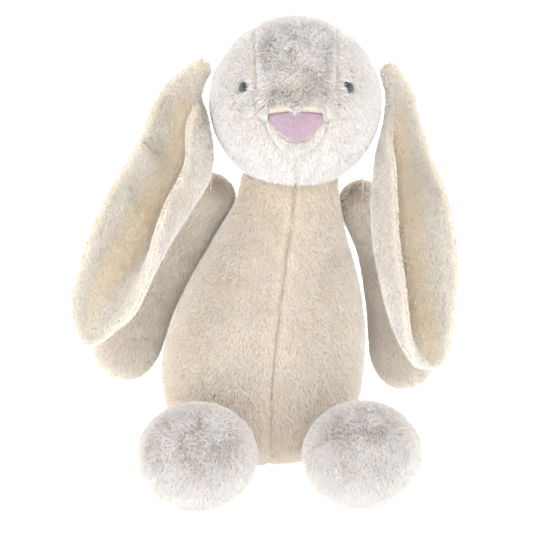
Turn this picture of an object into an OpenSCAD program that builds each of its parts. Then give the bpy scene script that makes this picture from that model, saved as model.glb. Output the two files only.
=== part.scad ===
// A long-eared stuffed rabbit that sits on a flat surface and faces -Y.
// Every outer surface is the height of the pile. The origin is on the floor, under the middle of the box.

/* [Head] */
// Radius of the round head
head_r = 101; // [90:1:110]
// Height of the middle of the head above the floor
head_z = 447; // [430:1:460]
// How far the muzzle stands out in front of the round head
muzzle_bulge = 11; // [0:1:16]
// Half the width of the forehead gusset beside the eyes
gusset_w = 49; // [40:1:52]
// Width of the nose across its top edge
nose_w = 62; // [40:1:70]
// Diameter of each bead eye
eye_d = 16; // [12:1:18]

/* [Torso] */
// Half the width of the belly
belly_w = 123; // [105:1:125]
// Half the depth of the belly
belly_d = 100; // [85:1:104]
// How far the torso and the legs are turned to the rabbit's left, in degrees
torso_turn = 6.5; // [0:0.5:8]
// Radius of the round tail
tail_r = 33; // [20:1:36]

/* [Limbs] */
// Half the width of each front paw
paw_w = 42; // [34:1:42]
// Half the width of each foot
foot_w = 70; // [60:1:72]
// Half the height of each foot
foot_h = 62; // [54:1:64]

/* [Ears] */
// Half the thickness of an ear through its two layers
ear_h = 10; // [7:1:11]
// Width of each ear, laid flat, as a share of the drawn one
ear_share = 1; // [0.9:0.01:1.02]
// How far the left ear is turned about its length, in degrees
ear_left_facing = 12; // [0:1:20]

/* [Fabric] */
// Thickness of the plush: its backing and its pile
plush_t = 8; // [6:0.5:9]
// Clear space between a limb's rounded root and the fabric that it is sewn to
root_gap = 4; // [3.5:0.5:5]
// Clear space between the head and the hollow at the top of the torso
neck_gap = 10; // [8:0.5:11]
// Radius of the sewing thread's doubled strand
thread_r = 0.9; // [0.6:0.1:1]

/* [Hidden] */

cream = [0.93, 0.90, 0.86];
lining_cream = [0.94, 0.88, 0.80];
white_fibre = [0.97, 0.97, 0.96];
pouch_white = [0.88, 0.88, 0.85];
pellet_white = [0.80, 0.82, 0.84];
thread_cream = [0.85, 0.80, 0.72];
nose_pink = [0.78, 0.66, 0.71];
bead_black = [0.03, 0.03, 0.03];
washer_white = [0.9, 0.9, 0.9];

// ---- curves -------------------------------------------------------------

function unit(v) = v / norm(v);
function ramp(t) = let (x = min(1, max(0, t))) x * x * (3 - 2 * x);
function mix(a, b, t) = a + (b - a) * t;
// A smooth curve through the rows of a list, at t counted in rows
function through(rows, t) =
    let (n = len(rows) - 1, i = max(0, min(n - 1, floor(t))), f = t - i)
    let (a = rows[max(0, i - 1)], b = rows[i], c = rows[i + 1], d = rows[min(n, i + 2)])
    b + ((c - a) * f + (2 * a - 5 * b + 4 * c - d) * f * f + (3 * b - a - 3 * c + d) * f * f * f) / 2;
// A vector v turned by an angle about a unit axis
function turned(v, axis, angle) =
    v * cos(angle) + cross(axis, v) * sin(angle) + axis * (axis * v) * (1 - cos(angle));

// ---- solids from grids of points ---------------------------------------

// A row whose points all meet, as at the end of a rounded limb
function is_pole(row) = norm(row[0] - row[1]) + norm(row[0] - row[floor(len(row) / 2)]) < 0.001;
function real(triangle) =
    triangle[0] != triangle[1] && triangle[1] != triangle[2] && triangle[0] != triangle[2];
function quad(a, b, c, d) = [for (t = [[a, b, c], [a, c, d]]) if (real(t)) t];
function six_volumes(points, faces) =
    [for (f = faces) cross(points[f[0]], points[f[1]]) * points[f[2]]] * [for (f = faces) 1];

// A polyhedron with its faces turned the right way out
module closed(points, faces) {
    outward = six_volumes(points, faces) < 0;
    polyhedron(points, outward ? faces : [for (f = faces) [f[2], f[1], f[0]]], convexity = 6);
}

// The solid between an outer and an inner grid of points, with walls along the open edges
module panel(outer, inner, wrap = false) {
    rows = len(outer);
    cols = len(outer[0]);
    poles = [for (row = outer) is_pole(row)];
    last = wrap ? cols - 1 : cols - 2;
    at = function(layer, j, i) (layer * rows + j) * cols + (poles[j] ? 0 : i % cols);
    faces = [
        for (j = [0:rows - 2], i = [0:last]) each concat(
            quad(at(0, j, i), at(0, j, i + 1), at(0, j + 1, i + 1), at(0, j + 1, i)),
            quad(at(1, j, i), at(1, j + 1, i), at(1, j + 1, i + 1), at(1, j, i + 1))),
        for (i = [0:last]) each concat(
            quad(at(0, 0, i), at(1, 0, i), at(1, 0, i + 1), at(0, 0, i + 1)),
            quad(at(0, rows - 1, i), at(0, rows - 1, i + 1), at(1, rows - 1, i + 1), at(1, rows - 1, i))),
        if (!wrap) for (j = [0:rows - 2]) each concat(
            quad(at(0, j, 0), at(0, j + 1, 0), at(1, j + 1, 0), at(1, j, 0)),
            quad(at(0, j, cols - 1), at(1, j, cols - 1), at(1, j + 1, cols - 1), at(0, j + 1, cols - 1)))
    ];
    closed([for (layer = [outer, inner], row = layer) each row], faces);
}

// The solid inside a grid that closes on itself and ends in a pole at both ends
module filled(grid) {
    cols = len(grid[0]);
    poles = [for (row = grid) is_pole(row)];
    at = function(j, i) j * cols + (poles[j] ? 0 : i % cols);
    faces = [
        for (j = [0:len(grid) - 2], i = [0:cols - 1])
            each quad(at(j, i), at(j, i + 1), at(j + 1, i + 1), at(j + 1, i))
    ];
    closed([for (row = grid) each row], faces);
}

// Columns first to last of a grid, counted round past the end
function columns(grid, first, last) =
    [for (row = grid) [for (i = [first:last]) row[i % len(row)]]];
function rows_of(grid, first, last) = [for (j = [first:last]) grid[j]];

// An egg-shaped grid about the Z axis
function egg(centre, half, rows = 8, cols = 16) = [
    for (j = [0:rows]) let (v = 180 * j / rows) [
        for (i = [0:cols - 1]) let (u = 360 * i / cols)
            centre + [half[0] * sin(v) * cos(u), half[1] * sin(v) * sin(u), half[2] * cos(v)]
    ]
];

// ---- torso --------------------------------------------------------------

neck = [34, 22];
head_centre = [neck[0], neck[1], head_z];
cup_r = head_r + neck_gap;
torso_cols = 24;
torso_rows = 13;
// height, half width, half depth in front, half depth behind, middle x, middle y
torso_stations = [
    [0, 56, 38, 44, -3, 70],
    [12, 88, 64, 64, -3, 60],
    [45, belly_w * 0.9, belly_d * 0.92, 90, -5, 42],
    [110, belly_w, belly_d, 95, -5, 40],
    [165, belly_w * 0.975, belly_d * 0.94, 90, 0, 38],
    [225, belly_w * 0.84, belly_d * 0.8, 77, 9, 35],
    [280, 80, 65, 64, 17, 32],
    [325, 63, 55, 55, 25, 29],
    [360, 58, 50, 50, 28, 27]
];
// Height of the hollow that the round head sits in
function cup_z(x, y) = head_z - sqrt(cup_r * cup_r - pow(x - neck[0], 2) - pow(y - neck[1], 2));

// Column 0 is the back seam, and the columns go round by the rabbit's right side
function torso_ring(t, inset) =
    let (s = through(torso_stations, t), wall = s[0] + inset * (1 - ramp(s[0] / 60)))
    [for (i = [0:torso_cols - 1])
        let (u = 360 * i / torso_cols, front = cos(u) < 0, depth = (front ? s[2] : s[3]) - inset)
        let (x = -(s[1] - inset) * sin(u), y = depth * cos(u))
        let (px = s[4] + x * cos(torso_turn) - y * sin(torso_turn))
        let (py = s[5] + x * sin(torso_turn) + y * cos(torso_turn))
        [px, py, t >= len(torso_stations) - 1 ? cup_z(px, py) : wall]];
function torso_grid(inset) =
    [for (j = [0:torso_rows]) torso_ring(j / torso_rows * (len(torso_stations) - 1), inset)];
torso_outer = torso_grid(0);
torso_inner = torso_grid(plush_t);
// A ring drawn in towards a point by steps, for a cap
function drawn_in(ring, centre, steps, height) = [
    for (k = [1:steps]) [
        for (p = ring) let (q = mix(p, centre, k / steps)) [q[0], q[1], height(q)]
    ]
];
seat_middle = [torso_stations[0][4], torso_stations[0][5], 0];

module torso_panel(first, last) {
    color(cream) panel(columns(torso_outer, first, last), columns(torso_inner, first, last));
}
quarter = torso_cols / 4;
module torso_back_right() { torso_panel(0, quarter); }
module torso_front_right() { torso_panel(quarter, 2 * quarter); }
module torso_front_left() { torso_panel(2 * quarter, 3 * quarter); }
module torso_back_left() { torso_panel(3 * quarter, 4 * quarter); }

module seat_panel() {
    outer = concat([torso_outer[0]], drawn_in(torso_outer[0], seat_middle, 1, function(q) 0));
    inner = concat([torso_inner[0]], drawn_in(torso_inner[0], seat_middle, 1, function(q) plush_t));
    color(cream) panel(outer, inner, wrap = true);
}

bag_centre = [-4, 42, 44];
bag_half = [74, 58, 26];
pouch_t = 2;

module torso_stuffing() {
    seat = drawn_in(torso_inner[0], seat_middle, 1, function(q) plush_t);
    cup = drawn_in(torso_inner[torso_rows], [neck[0], neck[1], 0], 4, function(q) cup_z(q[0], q[1]));
    color(white_fibre) difference() {
        filled(concat(seat, torso_inner, cup));
        filled(egg(bag_centre, bag_half));
    }
}

module bean_bag_pouch() {
    color(pouch_white) difference() {
        filled(egg(bag_centre, bag_half));
        filled(egg(bag_centre, bag_half - [pouch_t, pouch_t, pouch_t]));
    }
}

module bean_bag_pellets() {
    color(pellet_white) filled(egg(bag_centre, bag_half - [pouch_t, pouch_t, pouch_t]));
}

// The hand-sewn ladder stitch that closes the middle of the back: short bars across the seam
closing_rows = [5:0.5:8];
closing_bar = 9;
closing_gap = 0.6;
module back_closing_stitch() {
    color(thread_cream)
        for (j = closing_rows) {
            p = mix(torso_outer[floor(j)][0], torso_outer[ceil(j)][0], j - floor(j));
            q = mix(torso_inner[floor(j)][0], torso_inner[ceil(j)][0], j - floor(j));
            translate(p + unit(p - q) * (thread_r + closing_gap))
                rotate([0, 90, torso_turn]) cylinder(r = thread_r, h = closing_bar, center = true, $fn = 24);
        }
}

// ---- tail ---------------------------------------------------------------

tail_z = 62;
tail_flat = 0.72;
tail_out = 118;
tail_centre = [-4 - tail_out * sin(torso_turn), 41 + tail_out * cos(torso_turn), tail_z];
module tail_at() { translate(tail_centre) rotate([0, 0, torso_turn]) children(); }
tail_half = [tail_r, tail_r * tail_flat, tail_r];
module tail_cover() {
    color(cream) tail_at() difference() {
        filled(egg([0, 0, 0], tail_half));
        filled(egg([0, 0, 0], tail_half - [plush_t, plush_t, plush_t]));
    }
}
module tail_stuffing() {
    color(white_fibre) tail_at() filled(egg([0, 0, 0], tail_half - [plush_t, plush_t, plush_t]));
}

// ---- head ---------------------------------------------------------------

// Directions on the head: round is the angle about the X axis from the front over the top,
// and side is the angle from the middle plane towards the rabbit's left
function head_dir(round, side) =
    [sin(side), -cos(side) * cos(round), cos(side) * sin(round)];
muzzle_dir = head_dir(-8, 0);
muzzle_spread = 30;
function head_reach(dir) =
    let (off = acos(min(1, dir * muzzle_dir)) / muzzle_spread)
    head_r + muzzle_bulge * exp(-off * off);
function head_point(round, side, inset) =
    let (dir = head_dir(round, side)) head_centre + dir * (head_reach(dir) - inset);
head_cols = 30;
side_rows = 6;
gusset_cols = 6;
gusset_first = -24;
gusset_last = 204;
// Half the gusset's width, as an angle, from the nose over the forehead to the nape
function gusset_side(round) =
    let (t = (round - gusset_first) / (gusset_last - gusset_first))
    t <= 0.001 || t >= 0.999 ? 0 : asin(gusset_w / head_r) * pow(sin(180 * pow(t, 0.72)), 0.55);
function around(i) = gusset_first + 360 * i / head_cols;

function side_grid(way, inset) = [
    for (j = [0:side_rows]) [
        for (i = [0:head_cols - 1])
            let (seam = gusset_side(around(i)))
            head_point(around(i), way * mix(seam, 90, j / side_rows), inset)
    ]
];
function gusset_grid(inset) =
    let (last = round((gusset_last - gusset_first) * head_cols / 360))
    [for (i = [0:last]) [
        for (k = [-gusset_cols / 2:gusset_cols / 2])
            head_point(around(i), gusset_side(around(i)) * 2 * k / gusset_cols, inset)
    ]];

eye_round = 21;
eye_side = 36.5;
function eye_point(way, inset) = head_point(eye_round, way * eye_side, inset);
module at_eye(way, inset) {
    translate(eye_point(way, inset))
        rotate([90 - eye_round, 0, 0])
        rotate([0, way * eye_side, 0])
        children();
}
eye_sunk = 6;
shank_r = 2.5;
shank_reach = 13;
washer_r = 9;
washer_t = 2;
washer_back = 2.5;
hole_depth = 20;
module eye_holes(way) {
    at_eye(way, eye_sunk) cylinder(r = eye_d / 2 + 1.2, h = 12, $fn = 12);
    at_eye(way, hole_depth) cylinder(r = shank_r + 1, h = hole_depth + eye_sunk, $fn = 12);
}

module head_side(way) {
    color(cream) difference() {
        panel(side_grid(way, 0), side_grid(way, plush_t), wrap = true);
        eye_holes(way);
    }
}
module head_side_left() { head_side(1); }
module head_side_right() { head_side(-1); }
module head_gusset() { color(cream) panel(gusset_grid(0), gusset_grid(plush_t)); }

// The stuffing runs pole to pole, just inside the panels
stuffing_rows = 16;
stuffing_gap = 4.2;
washer_room = 12;
module head_stuffing() {
    color(white_fibre) difference() {
        filled([for (j = [0:stuffing_rows]) [
            for (i = [0:head_cols - 1])
                head_point(around(i), -90 + 180 * j / stuffing_rows, plush_t + stuffing_gap)
        ]]);
        for (way = [-1, 1])
            at_eye(way, plush_t + washer_room) cylinder(r = washer_r + 1, h = 12, $fn = 12);
    }
}

module eye(way) {
    color(bead_black) at_eye(way, eye_sunk) {
        difference() {
            sphere(d = eye_d, $fn = 48);
            translate([0, 0, -eye_d]) cylinder(r = eye_d, h = eye_d, $fn = 48);
        }
        translate([0, 0, -shank_reach]) cylinder(r = shank_r, h = shank_reach, $fn = 32);
    }
}
module eye_left() { eye(1); }
module eye_right() { eye(-1); }
module eye_washer(way) {
    color(washer_white) at_eye(way, plush_t + washer_back)
        difference() {
            cylinder(r = washer_r, h = washer_t, center = true, $fn = 40);
            cylinder(r = shank_r + 0.05, h = 2 * washer_t, center = true, $fn = 40);
        }
}
module eye_washer_left() { eye_washer(1); }
module eye_washer_right() { eye_washer(-1); }

// A rounded triangle, point down, that lies over the muzzle
nose_t = 4;
// Height of the nose below its corners, and above them
nose_below = 28.8;
nose_above = 5.4;
nose_clear = 0.6;
nose_rows = 4;
nose_cols = 18;
function nose_edge(u) =
    let (x = nose_w / 2 * sin(u), drop = -cos(u))
    [x * (drop < 0 ? 1 - 0.42 * ramp(-drop) : 1 - 0.1 * drop), drop * (drop < 0 ? nose_below : nose_above)];
nose_rim = [0, -0.8, 0];
degrees_per_mm = 180 / (PI * head_r);
function nose_grid(height) = [
    for (j = [0:nose_rows]) [
        for (i = [0:nose_cols - 1])
            let (f = 1 - j / nose_rows, e = nose_edge(360 * i / nose_cols) * f * degrees_per_mm)
            let (swell = height * sqrt(max(0, 1 - pow(f, 4))))
            head_point(e[1], e[0], -nose_clear - swell)
    ]
];
module nose_patch() {
    color(nose_pink)
        panel([for (row = nose_grid(nose_t)) [for (p = row) p + nose_rim]], nose_grid(0), wrap = true);
}

module neck_stitch() {
    ring_r = 40;
    gap_middle = head_r + neck_gap / 2;
    color(thread_cream)
        translate([neck[0], neck[1], head_z - sqrt(gap_middle * gap_middle - ring_r * ring_r)])
        rotate_extrude($fn = 64) translate([ring_r, 0]) circle(r = thread_r, $fn = 16);
}

// ---- ears ---------------------------------------------------------------

ear_root_r = 11;
// Points down the bottom of each ear's lengthwise fold, from its root to its tip
ear_right_path = [
    [-76, 20, 488], [-93, 18, 456], [-97, 10, 425], [-99, -2, 380], [-124, -16, 342],
    [-151, -30, 305], [-177, -43, 268], [-199, -53, 236], [-208, -60, 206], [-207, -65, 178]
];
ear_left_path = [
    [144, 20, 484], [154, 16, 455], [158, 8, 425], [160, -2, 382], [161, -14, 339],
    [164, -28, 293], [172, -42, 247], [182, -54, 207], [194, -62, 172], [202, -66, 153]
];
// At each point of the path: the cloth's reach towards the head and away from it, and how far each side bends
// forward, in degrees
ear_right_section = [
    [11, 11, 0, 0], [18, 30, 50, 20], [48, 46, 150, 35], [64, 64, 170, 42], [66, 62, 160, 42],
    [66, 56, 125, 40], [64, 44, 85, 36], [62, 30, 60, 30], [56, 22, 45, 25], [46, 20, 30, 15]
];
ear_left_section = [
    [11, 11, 0, 0], [14, 20, 30, 15], [24, 24, 85, 25], [52, 38, 150, 35], [64, 58, 165, 40],
    [66, 66, 165, 40], [64, 62, 160, 38], [58, 48, 140, 35], [48, 32, 110, 30], [40, 24, 80, 20]
];
ear_rows = 16;
ear_steps = 7;
ear_caps = 3;
round_from = 0.72;
// Where along the cloth's reach its bend begins, and over how much of the reach it turns
bend_from = 0.18;
bend_over = 0.7;
function bend_at(s) = ramp((s - bend_from) / bend_over);
// One side of the ear across its length: x and y of each point and the way the cloth faces there
function ear_side(reach, bend) = [
    for (
        k = 0, p = [0, 0];
        k <= ear_steps;
        a = bend * bend_at((k + 0.5) / ear_steps), p = p + [cos(a), sin(a)] * reach / ear_steps, k = k + 1
    ) [p[0], p[1], bend * bend_at(k / ear_steps)]
];
// A row of the ear: layer 1 is its front, 0 the seam between its layers, -1 its back
function ear_row(middle, outward, front, section, h, layer) =
    let (inner = ear_side(section[0], section[2]), outer = ear_side(section[1], section[3]))
    [for (i = [-ear_steps:ear_steps])
        let (q = i < 0 ? inner[-i] : outer[i], s = i / ear_steps, way = i < 0 ? -1 : 1)
        let (thick = max(min(1.2, h), h * pow(max(0, 1 - s * s), 0.45)) * layer)
        middle + outward * way * (q[0] - thick * sin(q[2])) + front * (q[1] + thick * cos(q[2]))];
function outward_of(down, way, facing) = turned(unit(cross(down, [0, 1, 0])) * way, down, facing);
function front_of(down, outward, way) = unit(cross(down, outward)) * way;
function ear_grid(way, layer) =
    let (path = way > 0 ? ear_left_path : ear_right_path)
    let (section = way > 0 ? ear_left_section : ear_right_section)
    let (facing = way > 0 ? ear_left_facing : 0)
    let (n = len(path) - 1, start = unit(path[1] - path[0]), side = outward_of(start, way, facing))
    concat(
        [for (k = [0:ear_caps - 1])
            let (a = 90 * (1 - k / ear_caps), w = k == 0 ? 0 : ear_root_r * cos(a))
            ear_row(path[0] - start * ear_root_r * sin(a), side, front_of(start, side, way), [w, w, 0, 0],
                k == 0 ? 0 : w, layer)],
        [for (j = [0:ear_rows])
            let (t = sin(90 * j / ear_rows), s = through(section, n * t))
            let (down = unit(through(path, n * t + 0.01) - through(path, n * t - 0.01)))
            let (side = outward_of(down, way, facing))
            let (tip = j == ear_rows ? 0 : sqrt(1 - pow(max(0, (t - round_from) / (1 - round_from)), 2.2)))
            let (h = mix(ear_root_r, ear_h, ramp(t / 0.12)) * (j == ear_rows ? 0 : mix(1, tip, 0.6)))
            ear_row(through(path, n * t), side, front_of(down, side, way),
                [s[0] * tip * ear_share, s[1] * tip * ear_share, s[2] * tip, s[3] * tip], h, layer)]);

module ear_lining(way) { color(lining_cream) panel(ear_grid(way, 1), ear_grid(way, 0)); }
module ear_back(way) { color(cream) panel(ear_grid(way, 0), ear_grid(way, -1)); }
module ear_left_lining() { ear_lining(1); }
module ear_left_back() { ear_back(1); }
module ear_right_lining() { ear_lining(-1); }
module ear_right_back() { ear_back(-1); }

// ---- thread where a limb is sewn on -------------------------------------

// An arc about the X axis through a joint's centre, opening away from the limb
module root_arc(centre, r, middle_angle, span) {
    color(thread_cream) translate(centre) rotate([0, 90, 0]) rotate([0, 0, middle_angle - span / 2])
        rotate_extrude(angle = span, $fn = 64) translate([r + root_gap / 2, 0])
        circle(r = thread_r, $fn = 16);
}
ear_span = 84;
module ear_right_stitch() { root_arc(ear_right_path[0], ear_root_r, 180, ear_span); }
module ear_left_stitch() { root_arc(ear_left_path[0], ear_root_r, 180, ear_span); }

// ---- arms and legs ------------------------------------------------------

limb_cols = 20;
cap_rows = 4;
// A limb: a ball at its root, a curved run of oval rings, and a blunt end. Each station is
// x, y, z, half width and half depth.
function limb_ring(middle, across, through_it, a, b, floor_z) = [
    for (i = [0:limb_cols - 1])
        let (u = 360 * i / limb_cols, p = middle + across * a * cos(u) + through_it * b * sin(u))
        [p[0], p[1], max(p[2], floor_z)]
];
function point(s) = [s[0], s[1], s[2]];
function limb_grid(stations, depth_way, end_reach, rows, inset, floor_z) =
    let (n = len(stations) - 1)
    let (near = function(t) through(stations, min(n, max(0, t))))
    let (axis = function(t) unit(point(near(t + 0.02) - near(t - 0.02))))
    let (wide = function(d) unit(cross(d, depth_way)), deep = function(d) unit(cross(wide(d), d)))
    let (root = stations[0], last = stations[n], first_way = axis(0), end_way = axis(n))
    let (size = function(half) max(1, half - inset))
    concat(
        [for (k = [0:cap_rows - 1]) let (a = 90 * (1 - k / cap_rows), r = size(root[3]))
            limb_ring(point(root) - first_way * r * sin(a), wide(first_way), deep(first_way),
                k == 0 ? 0 : r * cos(a), k == 0 ? 0 : r * cos(a), floor_z)],
        [for (j = [0:rows]) let (t = n * j / rows, s = through(stations, t), d = axis(t))
            limb_ring(point(s), wide(d), deep(d), size(s[3]), size(s[4]), floor_z)],
        [for (k = [1:cap_rows + 1]) let (a = 90 * k / (cap_rows + 1), f = k > cap_rows ? 0 : pow(cos(a), 0.8))
            limb_ring(point(last) + end_way * (end_reach - inset) * sin(a), wide(end_way), deep(end_way),
                size(last[3]) * f, size(last[4]) * f, floor_z)]);

limb_span = 130;
half_cols = limb_cols / 2;
module limb_half(outer, inner, first) {
    color(cream) panel(columns(outer, first, first + half_cols), columns(inner, first, first + half_cols));
}

arm_rows = 7;
arm_end = 52;
arm_right_stations = [
    [-66, 65, 325, 29, 28], [-105, 72, 268, 35, 29], [-143, 73, 207, 39, 30], [-169, 70, 146, paw_w, 31]
];
arm_left_stations = [
    [115, 65, 317, 29, 28], [143, 72, 266, 35, 29], [159, 73, 204, 39, 30], [168, 70, 136, paw_w, 31]
];
function arm_stations(way) = way > 0 ? arm_left_stations : arm_right_stations;
function arm_grid(way, inset) = limb_grid(arm_stations(way), [0, 1, 0], arm_end, arm_rows, inset, 0);
module arm_half(way, first) { limb_half(arm_grid(way, 0), arm_grid(way, plush_t), first); }
module arm_stuffing(way) { color(white_fibre) filled(arm_grid(way, plush_t)); }
module arm_stitch(way) {
    root_arc(point(arm_stations(way)[0]), arm_stations(way)[0][3], 180, limb_span);
}
module arm_right_front() { arm_half(-1, half_cols); }
module arm_right_back() { arm_half(-1, 0); }
module arm_right_stuffing() { arm_stuffing(-1); }
module arm_right_stitch() { arm_stitch(-1); }
module arm_left_front() { arm_half(1, half_cols); }
module arm_left_back() { arm_half(1, 0); }
module arm_left_stuffing() { arm_stuffing(1); }
module arm_left_stitch() { arm_stitch(1); }

// The legs lie forward on the floor, and the left foot a little further forward than the right.
// Each point is measured from the torso's own middle plane, turned with the torso.
hip = [92, -104, 43];
hip_r = 40;
foot_right = [95, -160, 60];
foot_left = [95, -174, 60];
sole_reach = 46;
leg_rows = 6;
leg_middle = [-4, 40];
function from_torso(x, y, z) = [
    leg_middle[0] + x * cos(torso_turn) - y * sin(torso_turn),
    leg_middle[1] + x * sin(torso_turn) + y * cos(torso_turn),
    z
];
function leg_station(way, t, a, b) =
    let (p = mix(hip, way > 0 ? foot_left : foot_right, t))
    concat(from_torso(way * p[0], p[1], p[2]), [a, b]);
function leg_stations(way) = [
    leg_station(way, 0, hip_r, hip_r), leg_station(way, 0.4, 50, 46),
    leg_station(way, 0.75, 63, 55), leg_station(way, 1, foot_w, foot_h)
];
function leg_grid(way, inset) = limb_grid(leg_stations(way), [0, 0, 1], sole_reach, leg_rows, inset, inset);
sole_row = cap_rows + leg_rows + 2;
leg_last = cap_rows + leg_rows + cap_rows + 1;
module leg_half(way, first) {
    limb_half(rows_of(leg_grid(way, 0), 0, sole_row), rows_of(leg_grid(way, plush_t), 0, sole_row), first);
}
module sole(way) {
    color(cream) panel(rows_of(leg_grid(way, 0), sole_row, leg_last),
        rows_of(leg_grid(way, plush_t), sole_row, leg_last), wrap = true);
}
side_col = limb_cols / 4;
module leg_right_outer() { leg_half(-1, 3 * side_col); }
module leg_right_inner() { leg_half(-1, side_col); }
module leg_left_outer() { leg_half(1, side_col); }
module leg_left_inner() { leg_half(1, 3 * side_col); }
module foot_right_sole() { sole(-1); }
module foot_left_sole() { sole(1); }
module leg_stuffing(way) { color(white_fibre) filled(leg_grid(way, plush_t)); }
module leg_right_stuffing() { leg_stuffing(-1); }
module leg_left_stuffing() { leg_stuffing(1); }
module leg_stitch(way) { root_arc(point(leg_stations(way)[0]), hip_r, 90, limb_span); }
module leg_right_stitch() { leg_stitch(-1); }
module leg_left_stitch() { leg_stitch(1); }

torso_front_left();
torso_front_right();
torso_back_left();
torso_back_right();
seat_panel();
torso_stuffing();
bean_bag_pouch();
bean_bag_pellets();
back_closing_stitch();
tail_cover();
tail_stuffing();
neck_stitch();
head_gusset();
head_side_left();
head_side_right();
head_stuffing();
nose_patch();
eye_left();
eye_right();
eye_washer_left();
eye_washer_right();
ear_right_lining();
ear_right_back();
ear_right_stitch();
ear_left_lining();
ear_left_back();
ear_left_stitch();
arm_right_front();
arm_right_back();
arm_right_stuffing();
arm_right_stitch();
arm_left_front();
arm_left_back();
arm_left_stuffing();
arm_left_stitch();
leg_right_outer();
leg_right_inner();
foot_right_sole();
leg_right_stuffing();
leg_right_stitch();
leg_left_outer();
leg_left_inner();
foot_left_sole();
leg_left_stuffing();
leg_left_stitch();
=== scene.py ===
"""The looks of a long-eared stuffed rabbit.

Sewn fabric skins carry their pile as real strands. The nose, eyes and thread are the small parts.
"""

import math

import bpy
import numpy as np
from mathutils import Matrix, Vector


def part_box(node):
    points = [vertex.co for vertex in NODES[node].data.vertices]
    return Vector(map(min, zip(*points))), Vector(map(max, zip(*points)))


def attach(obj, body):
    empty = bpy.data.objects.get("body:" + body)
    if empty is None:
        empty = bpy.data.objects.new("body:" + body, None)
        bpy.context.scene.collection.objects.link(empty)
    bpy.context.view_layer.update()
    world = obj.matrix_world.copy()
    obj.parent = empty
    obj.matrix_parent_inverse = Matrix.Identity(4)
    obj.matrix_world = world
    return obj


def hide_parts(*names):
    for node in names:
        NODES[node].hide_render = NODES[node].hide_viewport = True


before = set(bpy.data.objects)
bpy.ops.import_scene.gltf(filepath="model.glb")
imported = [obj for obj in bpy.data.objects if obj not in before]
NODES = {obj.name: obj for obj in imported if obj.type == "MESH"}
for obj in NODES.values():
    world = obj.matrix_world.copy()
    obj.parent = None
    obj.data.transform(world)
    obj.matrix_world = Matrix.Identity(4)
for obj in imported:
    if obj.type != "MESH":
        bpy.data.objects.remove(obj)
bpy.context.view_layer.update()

MM = 0.001
MM_IN_M = 1000

# ---- camera -------------------------------------------------------------

AIM = Vector((0.0, 0.03, 0.247))
DISTANCE = 2.6
ELEVATION = math.radians(13)
FIELD = 0.64

camera_data = bpy.data.cameras.new("camera")
camera_data.sensor_width = 36
camera_data.lens = 36 * DISTANCE / FIELD
camera_data.clip_end = 50
camera = bpy.data.objects.new("camera", camera_data)
bpy.context.scene.collection.objects.link(camera)
back = Vector((0, -math.cos(ELEVATION), math.sin(ELEVATION)))
camera.location = AIM + back * DISTANCE
camera.rotation_euler = (-back).to_track_quat("-Z", "Y").to_euler()
bpy.context.scene.camera = camera

# ---- curves and noise -----------------------------------------------------


def ramp(t):
    x = np.clip(t, 0, 1)
    return x * x * (3 - 2 * x)


def mix(a, b, t):
    return a + (b - a) * t


def through(rows, t):
    """A smooth curve through the rows of a table, at t counted in rows."""
    rows = np.asarray(rows, float)
    last = len(rows) - 1
    i = np.clip(np.floor(t).astype(int), 0, last - 1)
    f = (t - i)[..., None]
    a, b = rows[np.maximum(i - 1, 0)], rows[i]
    c, d = rows[i + 1], rows[np.minimum(i + 2, last)]
    return b + ((c - a) * f + (2 * a - 5 * b + 4 * c - d) * f**2 + (3 * b - a - 3 * c + d) * f**3) / 2


def unit(v):
    return v / np.maximum(np.linalg.norm(v, axis=-1, keepdims=True), 1e-9)


def dot(a, b):
    return np.sum(a * b, axis=-1, keepdims=True)


def hashed(cells, seed):
    """Three numbers from 0 to 1 for each whole-number cell."""
    c = cells.astype(np.int64)
    h = c[..., 0] * 73856093 ^ c[..., 1] * 19349663 ^ c[..., 2] * 83492791 ^ (seed * 2654435761)
    out = []
    for k in range(3):
        h = (h ^ (h >> 13)) * 1274126177 + 12345 * (k + 1)
        h = h & 0xFFFFFFFF
        out.append(((h >> 8) & 0xFFFF) / 65535.0)
    return np.stack(out, -1)


def smooth_noise(points, size, seed):
    """Three smooth noises from -1 to 1 at each point, with features of that size."""
    q = points / size
    cell = np.floor(q)
    f = ramp(q - cell)
    total = 0
    for dx in (0, 1):
        for dy in (0, 1):
            for dz in (0, 1):
                w = abs(1 - dx - f[..., :1]) * abs(1 - dy - f[..., 1:2]) * abs(1 - dz - f[..., 2:3])
                total = total + w * hashed(cell + np.array([dx, dy, dz]), seed)
    return total * 2 - 1


def nearest_tuft(points, size, seed):
    """The middle of the tuft that each point belongs to, and three numbers that are the tuft's own."""
    cell = np.floor(points / size)
    best = np.full(len(points), 1e9)
    middle = np.zeros_like(points)
    own = np.zeros_like(points)
    for dx in (-1, 0, 1):
        for dy in (-1, 0, 1):
            for dz in (-1, 0, 1):
                at = cell + np.array([dx, dy, dz])
                centre = (at + hashed(at, seed)) * size
                far = np.sum((points - centre) ** 2, -1)
                nearer = far < best
                best = np.where(nearer, far, best)
                middle[nearer] = centre[nearer]
                own[nearer] = hashed(at[nearer], seed + 7)
    return middle, own * 2 - 1


# ---- materials --------------------------------------------------------------


def new_material(name, colour, roughness, **sockets):
    m = bpy.data.materials.new(name)
    m.use_nodes = True
    shader = m.node_tree.nodes["Principled BSDF"]
    shader.inputs["Base Color"].default_value = (*colour, 1)
    shader.inputs["Roughness"].default_value = roughness
    for socket, value in sockets.items():
        shader.inputs[socket.replace("_", " ")].default_value = value
    return m, shader


def add(tree, kind, **values):
    node = tree.nodes.new(kind)
    for key, value in values.items():
        if key in node.inputs:
            node.inputs[key].default_value = value
        else:
            setattr(node, key, value)
    return node


COLOUR_DETAIL, BUMP_DETAIL = 6, 4
BUMP_HEIGHT = 0.001


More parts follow.
